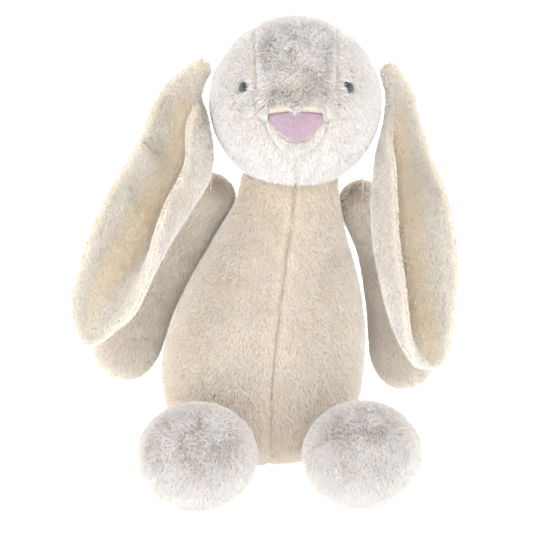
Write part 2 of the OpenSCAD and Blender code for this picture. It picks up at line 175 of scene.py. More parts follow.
def procedural(name, low, high, roughness, scale, bump=0.0, bump_scale=None, **sockets):
    """A material whose colour wanders between two colours, with a fine bump."""
    m, shader = new_material(name, low, roughness, **sockets)
    tree = m.node_tree
    where = add(tree, "ShaderNodeTexCoord")
    noise = add(tree, "ShaderNodeTexNoise", Scale=scale, Detail=COLOUR_DETAIL)
    tree.links.new(where.outputs["Object"], noise.inputs["Vector"])
    colours = add(tree, "ShaderNodeValToRGB")
    colours.color_ramp.elements[0].position = 0.35
    colours.color_ramp.elements[1].position = 0.65
    colours.color_ramp.elements[0].color = (*low, 1)
    colours.color_ramp.elements[1].color = (*high, 1)
    tree.links.new(noise.outputs["Fac"], colours.inputs["Fac"])
    tree.links.new(colours.outputs["Color"], shader.inputs["Base Color"])
    if bump:
        fine = add(tree, "ShaderNodeTexNoise", Scale=bump_scale, Detail=BUMP_DETAIL)
        tree.links.new(where.outputs["Object"], fine.inputs["Vector"])
        lift = add(tree, "ShaderNodeBump", Strength=bump, Distance=BUMP_HEIGHT)
        tree.links.new(fine.outputs["Fac"], lift.inputs["Height"])
        tree.links.new(lift.outputs["Normal"], shader.inputs["Normal"])
    return m


TONE_SPREAD = 0.03
BRIGHTEST = 0.97


def tones(name, root, middle, tip):
    """The pile's tones from the backing to the tips, each in a darker, a plain and a brighter shade. The
    warmer, darker root tones are painted shade and warm bounce light down among the strands.
    """
    found = []
    for part, colour in (("root", root), ("middle", middle), ("tip", tip)):
        for shade, share in (("a", 1 - TONE_SPREAD), ("b", 1.0), ("c", 1 + TONE_SPREAD)):
            rgb = [min(BRIGHTEST, c * share) for c in colour]
            m, _ = new_material(
                f"{name}_{part}_{shade}",
                rgb,
                0.85,
                Sheen_Weight=0.15,
                Sheen_Roughness=0.5,
                Specular_IOR_Level=0.15,
            )
            found.append(m)
    return found


BACKING = procedural(
    "knitted_backing",
    (0.92, 0.79, 0.62),
    (0.94, 0.86, 0.74),
    0.9,
    60,
    bump=0.6,
    bump_scale=900,
    Sheen_Weight=0.3,
)
# Root, middle and tip colours of each pile. The warmer, darker roots are painted shade and warm bounce
# light among the strands; the lining's orange root is painted warm shade for the ear's fold.
HEAD_PILE = tones("head_pile", (0.95, 0.88, 0.80), (0.955, 0.915, 0.875), (0.96, 0.94, 0.93))
BODY_PILE = tones("body_pile", (0.95, 0.82, 0.62), (0.955, 0.875, 0.775), (0.96, 0.915, 0.87))
EAR_PILE = tones("ear_pile", (0.95, 0.84, 0.69), (0.955, 0.89, 0.815), (0.96, 0.925, 0.89))
LINING_PILE = tones("lining_pile", (0.95, 0.77, 0.47), (0.955, 0.875, 0.75), (0.96, 0.92, 0.87))
VELOUR = procedural(
    "nose_velour",
    (0.37, 0.262, 0.33),
    (0.43, 0.31, 0.385),
    0.8,
    220,
    bump=0.35,
    bump_scale=2500,
    Sheen_Weight=0.6,
    Sheen_Roughness=0.35,
)
BEAD = procedural(
    "eye_bead",
    (0.008, 0.008, 0.010),
    (0.014, 0.013, 0.016),
    0.12,
    300,
    Coat_Weight=0.7,
    Coat_Roughness=0.04,
)
THREAD = procedural(
    "sewing_thread",
    (0.72, 0.60, 0.45),
    (0.84, 0.74, 0.60),
    0.7,
    900,
    bump=0.8,
    bump_scale=3000,
    Sheen_Weight=0.2,
)
WASHER = procedural(
    "washer_plastic", (0.78, 0.78, 0.77), (0.84, 0.84, 0.83), 0.45, 120, bump=0.1, bump_scale=700
)

# ---- meshes -------------------------------------------------------------------


def make_mesh(name, points, faces, materials, body, face_material=None):
    """A mesh object that rides on a body. points are in millimetres; faces are rows of 3 or 4."""
    mesh = bpy.data.meshes.new(name)
    points = np.asarray(points, np.float32)
    faces = np.asarray(faces, np.int32)
    count, sides = faces.shape
    mesh.vertices.add(len(points))
    mesh.vertices.foreach_set("co", (points * MM).ravel())
    mesh.loops.add(count * sides)
    mesh.loops.foreach_set("vertex_index", faces.ravel())
    mesh.polygons.add(count)
    mesh.polygons.foreach_set("loop_start", np.arange(0, count * sides, sides, dtype=np.int32))
    mesh.polygons.foreach_set("loop_total", np.full(count, sides, np.int32))
    for m in materials:
        mesh.materials.append(m)
    if face_material is not None:
        mesh.polygons.foreach_set("material_index", np.asarray(face_material, np.int32))
    mesh.update(calc_edges=True)
    obj = bpy.data.objects.new(name, mesh)
    bpy.context.scene.collection.objects.link(obj)
    if body:
        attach(obj, body)
    return obj


def smooth(obj):
    for p in obj.data.polygons:
        p.use_smooth = True


def ring_faces(rows, cols):
    """Faces of a grid that wraps round in its columns, as triangles."""
    j, i = np.meshgrid(np.arange(rows - 1), np.arange(cols), indexing="ij")
    a, b = j * cols + i, j * cols + (i + 1) % cols
    c, d = (j + 1) * cols + (i + 1) % cols, (j + 1) * cols + i
    return np.concatenate([np.stack([a, b, c], -1).reshape(-1, 3), np.stack([a, c, d], -1).reshape(-1, 3)])


def welded(points, faces):
    """The same mesh with points in one place joined and empty faces dropped."""
    key = np.round(points * 1000).astype(np.int64)
    _, first, same = np.unique(key, axis=0, return_index=True, return_inverse=True)
    same = same.reshape(-1)
    f = same[faces]
    good = (f[:, 0] != f[:, 1]) & (f[:, 1] != f[:, 2]) & (f[:, 0] != f[:, 2])
    return points[first], f[good], first


def facing_out(points, faces):
    """The faces of a closed mesh, turned round if they face inwards."""
    volume = np.sum(np.cross(points[faces[:, 0]], points[faces[:, 1]]) * points[faces[:, 2]])
    return faces[:, ::-1] if volume < 0 else faces


def normals_of(points, faces):
    corner = points[faces]
    n = np.cross(corner[:, 1] - corner[:, 0], corner[:, 2] - corner[:, 0])
    total = np.zeros_like(points)
    for k in range(3):
        np.add.at(total, faces[:, k], n)
    return unit(total)


class Skin:
    """A closed fabric surface with what the pile on it needs at each point."""

    def __init__(self, name, grid, body, values=None):
        rows, cols = grid.shape[:2]
        self.name, self.body = name, body
        points, faces, first = welded(grid.reshape(-1, 3), ring_faces(rows, cols))
        faces = facing_out(points, faces)
        self.points, self.faces = points, faces
        self.values = {k: v.reshape(-1, *v.shape[2:])[first] for k, v in (values or {}).items()}
        self.normals = normals_of(points, faces)

    def build(self, *nodes, fill=0.7, slot="cream_plush"):
        obj = make_mesh(self.name, self.points, self.faces, [BACKING], self.body)
        smooth(obj)
        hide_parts(*nodes)
        return obj


STRAND_SHARE = 1.0
HARDLY_ANY = 1e-9
FLOOR_CLEAR = 0.4


def grow(
    name,
    skin,
    strands,
    pile,
    comb,
    length=6.6,
    lean=0.9,
    width=0.95,
    tuft=4.5,
    gather=0.2,
    tuft_lean=0.22,
    stray=0.22,
    keep=None,
    seed=1,
):
    """Pile on a skin. comb gives the way that it lies, and keep says how much of it grows at each point."""
    rng = np.random.default_rng(seed)
    count = int(strands * STRAND_SHARE)
    width = width / math.sqrt(STRAND_SHARE)
    corner = skin.points[skin.faces]
    area = np.linalg.norm(np.cross(corner[:, 1] - corner[:, 0], corner[:, 2] - corner[:, 0]), axis=1)
    if keep is not None:
        area = area * keep(corner.mean(1))
    face = rng.choice(len(area), size=count, p=area / area.sum())
    r1, r2 = np.sqrt(rng.random(count)), rng.random(count)
    bary = np.stack([1 - r1, r1 * (1 - r2), r1 * r2], -1)[..., None]
    root = (corner[face] * bary).sum(1)
    normal = unit((skin.normals[skin.faces[face]] * bary).sum(1))
    own = {}
    for key, value in skin.values.items():
        share = bary if value.ndim > 1 else bary[..., 0]
        own[key] = (value[skin.faces[face]] * share).sum(1)
    long = own.get("length", np.ones(count)) * length * rng.uniform(0.82, 1.12, count)
    way = comb(root, normal, own)
    way = way - normal * dot(way, normal)
    slow = smooth_noise(root, 26.0, seed + 1) * 0.55 + smooth_noise(root, 11.0, seed + 2) * 0.45
    slow = slow - normal * dot(slow, normal)
    middle, tuft_own = nearest_tuft(root, tuft, seed + 3)
    tuft_own = tuft_own - normal * dot(tuft_own, normal)
    side_lean = way * lean + slow * lean * 0.6 + tuft_own * tuft_lean + rng.normal(0, stray, (count, 3))
    low_way = unit(normal + side_lean * 0.45)
    high_way = unit(normal * 0.75 + side_lean * 1.1)
    to_middle = middle - root
    to_middle = to_middle - normal * dot(to_middle, normal)
    mid = root + low_way * long[:, None] * 0.5 + to_middle * gather * 0.35
    tip = mid + high_way * long[:, None] * 0.5 + to_middle * gather * 0.65
    across = unit(np.cross(low_way, normal + rng.normal(0, 0.35, (count, 3)) + side_lean * 0.3))
    across_high = unit(across + rng.normal(0, 0.25, (count, 3)))
    half = (width * rng.uniform(0.7, 1.25, count) / 2)[:, None]
    verts = np.stack([root, mid - across_high * half, mid + across_high * half, tip], 1).reshape(-1, 3)
    verts[:, 2] = np.maximum(verts[:, 2], FLOOR_CLEAR)
    first = (np.arange(count) * 4)[:, None]
    faces = np.concatenate([first + [0, 2, 1], first + [1, 2, 3]])
    shade = rng.integers(0, 3, count)
    # Where the skin's deep share is high, more strands take the warmer root and middle tones in place of
    # the middle and tip tones: painted shade.
    low = np.where(rng.random(count) < own.get("deep", np.full(count, 0.5)), 0, 3)
    index = np.concatenate([shade + low, shade + low + 3])
    obj = make_mesh(name, verts, faces, pile, skin.body, face_material=index)
    return obj


def downwards(root, normal, own):
    return np.broadcast_to(np.array([0.0, 0.0, -1.0]), root.shape)


UP_AND_FORWARD = np.array([0.0, -0.79, 0.61])
ASIDE = np.array([1.0, 0.0, 0.25])
SWIRL, SWIRL_SIZE, SWIRL_SEED = 1.3, 18.0, 5
DOWN_LOST = 0.65


def brushed(root, normal, way):
    """A way for the pile to lie, which swirls aside where the surface faces up and forward."""
    facing = np.clip(normal @ UP_AND_FORWARD, 0, 1)[:, None] ** 6
    aside = smooth_noise(root, SWIRL_SIZE, SWIRL_SEED)[:, :1] * SWIRL
    return np.array(way) * (1 - DOWN_LOST * facing) + ASIDE * aside * facing


def along_own(root, normal, own):
    return own["along"]


def slope(grid):
    """The way along the rows of a grid, at each of its points."""
    return unit(np.gradient(grid, axis=0))


# ---- torso ----------------------------------------------------------------------

PILE = 4.6
TURN = math.radians(6.5)
NECK = np.array([34.0, 22.0])
HEAD_Z = 447.0
HEAD_R = 101.0
CUP_R = HEAD_R + 3
BELLY_W, BELLY_D = 123.0, 100.0
# height, half width, half depth in front, half depth behind, middle x, middle y
TORSO_STATIONS = [
    (0, 56, 38, 44, -3, 70),
    (12, 88, 64, 64, -3, 60),
    (45, BELLY_W * 0.9, BELLY_D * 0.92, 90, -5, 42),
    (110, BELLY_W, BELLY_D, 95, -5, 40),
    (165, BELLY_W * 0.975, BELLY_D * 0.94, 90, 0, 38),
    (225, BELLY_W * 0.84, BELLY_D * 0.8, 77, 9, 35),
    (280, 80, 65, 64, 17, 32),
    (325, 63, 55, 55, 25, 29),
    (360, 58, 50, 50, 28, 27),
]


def seam_dip(distance, depth, half):
    return depth * np.exp(-((distance / half) ** 2))


def torso_skin():
    cols, rows = 180, 130
    u = np.linspace(0, 2 * np.pi, cols, endpoint=False)[None, :]
    t = np.linspace(0, len(TORSO_STATIONS) - 1, rows)[:, None]
    s = through(TORSO_STATIONS, np.broadcast_to(t, (rows, cols)).copy())
    depth = np.where(np.cos(u) < 0, s[..., 2], s[..., 3])
    inset = np.full((rows, cols), PILE)
    length = np.ones((rows, cols))
    for seam, deep in ((0, 3.0), (90, 1.2), (180, 3.6), (270, 1.2)):
        away = np.abs((np.degrees(u) - seam + 180) % 360 - 180) * math.pi / 180 * (s[..., 1] + depth) / 2
        inset = inset + seam_dip(away, deep, 3.2)
        length = length * (1 - seam_dip(away, 0.35, 3.5))
    x = -(s[..., 1] - inset) * np.sin(u)
    y = (depth - inset) * np.cos(u)
    px = s[..., 4] + x * math.cos(TURN) - y * math.sin(TURN)
    py = s[..., 5] + x * math.sin(TURN) + y * math.cos(TURN)
    pz = s[..., 0] + PILE * (1 - ramp(s[..., 0] / 60)) * 0.5
    grid = np.stack([px, py, pz], -1)
    rim = grid[-1]
    cup = []
    for k in (0.08, 0.3, 0.6, 0.85, 1.0):
        p = mix(rim[:, :2], NECK, k)
        z = HEAD_Z - np.sqrt(CUP_R**2 - np.sum((p - NECK) ** 2, -1)) - 2
        cup.append(np.concatenate([p, z[:, None]], -1))
    seat = [mix(grid[0], np.array([-3, 70, PILE * 0.5]), k) for k in (1.0, 0.7, 0.35)]
    whole = np.concatenate([np.stack(seat), grid, np.stack(cup)])
    full = np.concatenate([np.full((3, cols), 0.5), length, np.full((5, cols), 0.35)])
    z = whole[..., 2]
    # Painted shade and bounce light: more strands take the warmer root tones under the head, above 290 mm,
    # and in the lap between the legs.
    lap = ramp((150 - z) / 90) * ramp((40 - whole[..., 1]) / 60)
    deep = np.clip(0.35 + 0.55 * ramp((z - 290) / 60) + 0.5 * lap, 0, 1)
    return Skin("torso_fabric", whole, "torso", {"length": full, "deep": deep})


TORSO = torso_skin()
TORSO.build(
    "torso_front_left",
    "torso_front_right",
    "torso_back_left",
    "torso_back_right",
    "seat_panel",
    "torso_stuffing",
    "bean_bag_pouch",
    "bean_bag_pellets",
    fill=0.75,
)


def torso_quarter(front, left):
    """How much pile grows at a point, for one of the torso's four panels."""
    ahead = np.array([math.sin(TURN), -math.cos(TURN)])
    beside = np.array([math.cos(TURN), math.sin(TURN)])

    def keep(p):
        s = np.interp(p[:, 2], [r[0] for r in TORSO_STATIONS], [r[4] for r in TORSO_STATIONS])
        c = np.interp(p[:, 2], [r[0] for r in TORSO_STATIONS], [r[5] for r in TORSO_STATIONS])
        off = p[:, :2] - np.stack([s, c], -1)
        in_front = off @ ahead > 0
        on_left = off @ beside > 0
        return ((in_front == front) & (on_left == left)) * 1.0 + HARDLY_ANY

    return keep


for front in (True, False):
    for left in (True, False):
        panel = f"torso_{'front' if front else 'back'}_{'left' if left else 'right'}"
        grow(
            panel + "_pile",
            TORSO,
            62000,
            BODY_PILE,
            downwards,
            length=6.8,
            keep=torso_quarter(front, left),
            seed=11 + 2 * front + left,
        )

# ---- head ------------------------------------------------------------------------

MUZZLE_BULGE, MUZZLE_SPREAD = 11.0, 30.0
GUSSET_W, GUSSET_FIRST, GUSSET_LAST = 49.0, -24.0, 204.0
HEAD_CENTRE = np.array([NECK[0], NECK[1], HEAD_Z])
EYE_ROUND, EYE_SIDE = 21.0, 36.5
HEAD_PILE_WAY = (0.0, -0.35, -1.0)


def head_dir(around, side):
    a, s = np.radians(around), np.radians(side)
    return np.stack([np.sin(s) * np.ones_like(a), -np.cos(s) * np.cos(a), np.cos(s) * np.sin(a)], -1)


MUZZLE_DIR = head_dir(np.array(-8.0), np.array(0.0))


def head_reach(way):
    off = np.degrees(np.arccos(np.clip(way @ MUZZLE_DIR, -1, 1)))
    return HEAD_R + MUZZLE_BULGE * np.exp(-((off / MUZZLE_SPREAD) ** 2))


def head_point(around, side, inset):
    way = head_dir(around, side)
    return HEAD_CENTRE + way * (head_reach(way) - inset)[..., None]


def gusset_side(around):
    t = (around - GUSSET_FIRST) / (GUSSET_LAST - GUSSET_FIRST)
    inside = (t > 0.001) & (t < 0.999)
    arch = np.sin(np.pi * np.clip(t, 0.001, 0.999) ** 0.72) ** 0.55
    return np.where(inside, math.degrees(math.asin(GUSSET_W / HEAD_R)) * arch, 0)


def round_and_side(p):
    """A point's two angles on the head."""
    way = unit(p - HEAD_CENTRE)
    side = np.degrees(np.arcsin(np.clip(way[..., 0], -1, 1)))
    around = np.degrees(np.arctan2(way[..., 2], -way[..., 1]))
    return np.where(around < -90, around + 360, around), side


NOSE_W, NOSE_H = 62.0, 36.0


def nose_share(p):
    """How far a point is from the nose's middle, as a share of the way to its edge; under 1 is inside."""
    around, side = round_and_side(p)
    mm = math.pi / 180 * HEAD_R
    x, z = side * mm, around * mm
    u = np.arctan2(x / (NOSE_W / 2), -z / (NOSE_H / 2))
    edge = nose_edge(u)
    far = np.hypot(x, z)
    return far / np.maximum(np.hypot(edge[..., 0], edge[..., 1]), 1e-6)


def nose_edge(u):
    drop = -np.cos(u)
    x = NOSE_W / 2 * np.sin(u)
    x = np.where(drop < 0, x * (1 - 0.42 * ramp(-drop)), x * (1 - 0.1 * drop))
    z = NOSE_H / 2 * np.where(drop < 0, drop * 1.6, drop * 0.3)
    return np.stack([x, z], -1)


def head_skin():
    rows, cols = 180, 200
    side = np.linspace(-90, 90, rows)[:, None] * np.ones((1, cols))
    around = np.linspace(-180, 180, cols, endpoint=False)[None, :] * np.ones((rows, 1))
    turn = np.where(around < -90, around + 360, around)
    seam = gusset_side(turn)
    mm = math.pi / 180 * HEAD_R
    away = np.abs(np.abs(side) - seam) * mm
    in_gusset = (turn > GUSSET_FIRST) & (turn < GUSSET_LAST)
    inset = PILE + seam_dip(away, np.where(in_gusset, 3.4, 2.2), 3.6)
    length = 1 - seam_dip(away, 0.3, 3.5)
    p = head_point(turn, side, 0 * side)
    length = length + 1.1 * np.exp(-(((nose_share(p) - 1.5) / 0.8) ** 2)) * (turn > 0) * (turn < 60)
    for way in (-1, 1):
        eye = head_dir(np.array(EYE_ROUND), np.array(way * EYE_SIDE))
        off = np.linalg.norm(unit(p - HEAD_CENTRE) - eye, axis=-1) * HEAD_R
        inset = inset + seam_dip(off, 5.5, 11.0)
        length = length + 0.7 * np.exp(-(((off - 11) / 5) ** 2))
    nose = nose_share(p)
    front = np.abs(turn) < 60
    inset = inset + np.where(front & (turn < 1), 3.0 * ramp((1.35 - nose) / 0.35), 0)
    grid = HEAD_CENTRE + head_dir(turn, side) * (head_reach(head_dir(turn, side)) - inset)[..., None]
    muzzle = np.exp(-((turn - 12) / 24) ** 2 - (side / 22) ** 2)
    deep = np.clip(0.15 + 0.8 * muzzle, 0, 1)
    return Skin("head_fabric", grid, "head", {"length": length, "deep": deep})


HEAD = head_skin()
HEAD.build("head_gusset", "head_side_left", "head_side_right", "head_stuffing", fill=0.85)


def over_the_eyes(root, normal, own):
    """Down and forward, and outwards over each eye from the strip beside it."""
    _, side = round_and_side(root)
    way = np.sign(side)
    eye = HEAD_CENTRE + head_dir(np.full(len(root), EYE_ROUND), way * (EYE_SIDE - 7)) * HEAD_R
    near = np.exp(-((np.linalg.norm(root - eye, axis=-1) / 15) ** 2))[:, None]
    down = brushed(root, normal, HEAD_PILE_WAY)
    return down * (1 - 0.7 * near) + np.array([1.0, 0, 0]) * way[:, None] * near * 1.3


def head_keep(panel):
    def keep(p):
        around, side = round_and_side(p)
        in_gusset = np.abs(side) < gusset_side(around)
        grown = in_gusset if panel == "gusset" else (~in_gusset & ((side > 0) == (panel == "left")))
        grown = grown & ((nose_share(p) > 1.04) | (np.abs(around) > 60))
        for way in (-1, 1):
            eye = head_dir(np.array(EYE_ROUND), np.array(way * EYE_SIDE))
            grown = grown & (np.linalg.norm(unit(p - HEAD_CENTRE) - eye, axis=-1) * HEAD_R > 5.0)
        return grown * 1.0 + HARDLY_ANY

    return keep


for panel, seed, strands in (("gusset", 21, 60000), ("left", 22, 60000), ("right", 23, 60000)):
    grow(
        ("head_gusset" if panel == "gusset" else "head_side_" + panel) + "_pile",
        HEAD,
        strands,
        HEAD_PILE,
        over_the_eyes,
        length=6.4,
        lean=0.75,
        keep=head_keep(panel),
        seed=seed,
    )


def nose_piece():
    rows, cols = 24, 96
    f = np.linspace(1, 0, rows)[:, None]
    u = np.linspace(0, 2 * np.pi, cols, endpoint=False)[None, :]
    e = nose_edge(u * np.ones((rows, 1))) * f[..., None] * 180 / (math.pi * HEAD_R)
    swell = 2.6 * np.sqrt(np.maximum(0, 1 - (f * np.ones((1, cols))) ** 5))
    top = head_point(e[..., 1], e[..., 0], 3.4 - swell)
    under = head_point(e[..., 1] * 0.98, e[..., 0] * 0.98, 6.4 + 0 * swell)
    grid = np.concatenate([top[::-1], under])
    points, faces, _ = welded(grid.reshape(-1, 3), ring_faces(2 * rows, cols))
    faces = facing_out(points, faces)
    obj = make_mesh("nose_velour", points, faces, [VELOUR], "head")
    smooth(obj)
    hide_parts("nose_patch")


nose_piece()

# ---- ears ---------------------------------------------------------------------------

EAR_ROOT_R, EAR_H = 11.0, 10.0
EARS = {
    "right": {
        "way": -1,
        "facing": 0.0,
        # points down the bottom of the fold
        "path": [
            (-76, 20, 488),
            (-93, 18, 456),
            (-97, 10, 425),
            (-99, -2, 380),
            (-124, -16, 342),
            (-151, -30, 305),
            (-177, -43, 268),
            (-199, -53, 236),
            (-208, -60, 206),
            (-207, -65, 178),
        ],
        # the cloth's reach towards the head and away from it, and how far each side bends forward
        "section": [
            (11, 11, 0, 0),
            (18, 30, 50, 20),
            (48, 46, 150, 35),
            (64, 64, 170, 42),
            (66, 62, 160, 42),
            (66, 56, 125, 40),
            (64, 44, 85, 36),
            (62, 30, 60, 30),
            (56, 22, 45, 25),
            (46, 20, 30, 15),
        ],
    },
    "left": {
        "way": 1,
        "facing": 12.0,
        "path": [
            (144, 20, 484),
            (154, 16, 455),
            (158, 8, 425),
            (160, -2, 382),
            (161, -14, 339),
            (164, -28, 293),
            (172, -42, 247),
            (182, -54, 207),
            (194, -62, 172),
            (202, -66, 153),
        ],
        "section": [
            (11, 11, 0, 0),
            (14, 20, 30, 15),
            (24, 24, 85, 25),
            (52, 38, 150, 35),
            (64, 58, 165, 40),
            (66, 66, 165, 40),
            (64, 62, 160, 38),
            (58, 48, 140, 35),
            (48, 32, 110, 30),
            (40, 24, 80, 20),
        ],
    },
}
EAR_ROUND_FROM = 0.72
BEND_FROM, BEND_OVER = 0.18, 0.7


def turned(v, axis, angle):
    c, s = math.cos(math.radians(angle)), math.sin(math.radians(angle))
    return v * c + np.cross(axis, v) * s + axis * dot(axis, v) * (1 - c)


def ear_side(reach, bend, share):
    """Points across one side of the fold, at each share of its reach, and the way the cloth faces there."""
    fine = np.linspace(0, 1, 81)
    a = np.radians(bend) * ramp((fine - BEND_FROM) / BEND_OVER)
    step = reach / 80
    half = (a[1:] + a[:-1]) / 2
    x = np.concatenate([[0], np.cumsum(np.cos(half) * step)])
    y = np.concatenate([[0], np.cumsum(np.sin(half) * step)])
    return np.interp(share, fine, x), np.interp(share, fine, y), np.interp(share, fine, a)


def ear_ring(section, h, phi):
    """Offsets outward and forward of a ring round both layers of the ear, and its share across."""
    s = -np.cos(phi)
    ix, iy, ia = ear_side(section[0], section[2], np.abs(s))
    ox, oy, oa = ear_side(section[1], section[3], np.abs(s))
    inner = s < 0
    way = np.where(inner, -1, 1)
    x, y, a = np.where(inner, ix, ox), np.where(inner, iy, oy), np.where(inner, ia, oa)
    thick = h * np.sign(np.sin(phi)) * np.abs(np.sin(phi)) ** 0.8
    return way * (x - thick * np.sin(a)), y + thick * np.cos(a), s


def ear_grid(e, inset):
    """The ear's closed surface, how deep in the fold each point lies, and whether it is in front."""
    rows, cols, caps = 120, 120, 6
    path, n = np.array(e["path"], float), len(e["path"]) - 1
    phi = np.linspace(0, 2 * np.pi, cols, endpoint=False)
    t = np.sin(np.linspace(0, np.pi / 2, rows))
    at = through(path, n * t)
    down = unit(through(path, n * t + 0.01) - through(path, n * t - 0.01))
    outward = turned(unit(np.cross(down, [0, 1, 0])) * e["way"], down, e["facing"])
    front = unit(np.cross(down, outward)) * e["way"]
    section = through(e["section"], n * t)
    end = np.sqrt(np.maximum(0, 1 - np.maximum(0, (t - EAR_ROUND_FROM) / (1 - EAR_ROUND_FROM)) ** 2.2))
    end[-1] = 0
    h = np.maximum((mix(EAR_ROOT_R, EAR_H, ramp(t / 0.12)) - inset) * mix(1, end, 0.6), 0) * (end > 0)
    grid, deep = [], []
    for j in range(rows):
        reach = np.maximum(section[j, :2] * end[j] - inset * 0.7, 0)
        x, y, s = ear_ring((*reach, *(section[j, 2:] * end[j])), h[j], phi)
        grid.append(at[j] + outward[j] * x[:, None] + front[j] * y[:, None])
        # The bottom of the lining's fold counts as deep, so its pile takes the warmer root tones: painted
        # warm shade in the fold.
        deep.append(np.exp(-((s / 0.42) ** 2)) * (np.sin(phi) > 0) * ramp(section[j, 2] * end[j] / 90))
    start = unit(path[1] - path[0])
    cap = []
    for k in range(caps):
        a = math.pi / 2 * (1 - k / caps)
        r = (EAR_ROOT_R - inset) * math.cos(a)
        x, y, _ = ear_ring((r, r, 0, 0), r, phi)
        middle = path[0] - start * (EAR_ROOT_R - inset) * math.sin(a)
        cap.append(middle + outward[0] * x[:, None] + front[0] * y[:, None])
    grid = np.concatenate([np.stack(cap), np.stack(grid)])
    deep = np.concatenate([np.zeros((caps, cols)), np.stack(deep)])
    is_front = np.broadcast_to((np.sin(phi) > 0) * 1.0, deep.shape)
    return grid, deep, is_front


for ear, e in EARS.items():
    grid, deep, is_front = ear_grid(e, 4.0)
    values = {"along": slope(grid), "deep": deep, "front": is_front, "length": 1 - 0.35 * deep}
    skin = Skin(f"ear_{ear}_fabric", grid, f"ear_{ear}", values)
    skin.build(f"ear_{ear}_lining", f"ear_{ear}_back", fill=0.1)
    centre_front = skin.values["front"]
    corner_front = centre_front[skin.faces].mean(1) > 0.5
    for layer, pile, long, seed in (("lining", LINING_PILE, 5.6, 31), ("back", EAR_PILE, 6.4, 32)):
        wanted = corner_front == (layer == "lining")
        grow(
            f"ear_{ear}_{layer}_pile",
            skin,
            50000,
            pile,
            along_own,
            length=long,
            lean=0.95,
            keep=lambda p, wanted=wanted: wanted * 1.0 + HARDLY_ANY,
            seed=seed + (ear == "left") * 2,
        )

# ---- arms and legs ---------------------------------------------------------------------


def limb_grid(stations, depth_way, end_reach, inset, floor_z, rows=90, cols=110, caps=16):
    """A limb's closed surface: a ball at its root, a run of oval rings and a blunt end."""
    table = np.array(stations, float)
    n = len(table) - 1
    t = np.linspace(0, n, rows)
    s = through(table, t)
    ahead = through(table, np.minimum(n, t + 0.02))[:, :3]
    behind = through(table, np.maximum(0, t - 0.02))[:, :3]
    way = unit(ahead - behind)
    wide = unit(np.cross(way, depth_way))
    deep = unit(np.cross(wide, way))
    u = np.linspace(0, 2 * np.pi, cols, endpoint=False)[None, :]

    def ring(middle, a, b, w, d):
        return middle + w * (a * np.cos(u[0]))[:, None] + d * (b * np.sin(u[0]))[:, None]

    out = []
    r = table[0][3] - inset
    for k in range(caps):
        a = math.pi / 2 * (1 - k / caps)
        middle = table[0][:3] - way[0] * r * math.sin(a)
        out.append(ring(middle, r * math.cos(a), r * math.cos(a), wide[0], deep[0]))
    for j in range(rows):
        out.append(ring(s[j, :3], s[j, 3] - inset, s[j, 4] - inset, wide[j], deep[j]))
    for k in range(1, caps + 1):
        a = math.pi / 2 * k / caps
        f = max(0.0, math.cos(a)) ** 0.8
        middle = table[-1][:3] + way[-1] * (end_reach - inset) * math.sin(a)
        out.append(ring(middle, (table[-1][3] - inset) * f, (table[-1][4] - inset) * f, wide[-1], deep[-1]))
    grid = np.stack(out)
    grid[..., 2] = np.maximum(grid[..., 2], floor_z)
    return grid


PAW_W, ARM_END = 42.0, 52.0
ARMS = {
    "right": [
        (-66, 65, 325, 29, 28),
        (-105, 72, 268, 35, 29),
        (-143, 73, 207, 39, 30),
        (-169, 70, 146, PAW_W, 31),
    ],
    "left": [
        (115, 65, 317, 29, 28),
        (143, 72, 266, 35, 29),
        (159, 73, 204, 39, 30),
        (168, 70, 136, PAW_W, 31),
    ],
}
for arm, stations in ARMS.items():
    grid = limb_grid(stations, (0, 1, 0), ARM_END, PILE, 0)
    skin = Skin(f"arm_{arm}_fabric", grid, f"arm_{arm}", {"along": slope(grid)})
    skin.build(f"arm_{arm}_front", f"arm_{arm}_back", f"arm_{arm}_stuffing", fill=0.6)
    table = np.array(stations, float)

    def arm_front(p, table=table):
        middle = np.interp(-p[:, 2], -table[:, 2], table[:, 1])
        return p[:, 1] < middle

    for part in ("front", "back"):
        grow(
            f"arm_{arm}_{part}_pile",
            skin,
            42000,
            BODY_PILE,
            along_own,
            length=6.6,
            keep=lambda p, part=part, inside=arm_front: (inside(p) == (part == "front")) * 1.0 + HARDLY_ANY,
            seed=41 + 2 * (arm == "left") + (part == "back"),
        )

HIP, HIP_R = np.array([92.0, -104.0, 43.0]), 40.0
FEET = {"right": (-1, np.array([95.0, -160.0, 60.0])), "left": (1, np.array([95.0, -174.0, 60.0]))}
FOOT_W, FOOT_H, SOLE_REACH = 70.0, 62.0, 46.0
LEG_MIDDLE = (-4.0, 40.0)
LEG_PILE_WAY = (0.0, -0.25, -1.0)
SOLE_FROM = 20


def from_torso(x, y, z):
    c, s = math.cos(TURN), math.sin(TURN)
    return np.array([LEG_MIDDLE[0] + x * c - y * s, LEG_MIDDLE[1] + x * s + y * c, z])


def down_the_leg(root, normal, own):
    return brushed(root, normal, LEG_PILE_WAY)


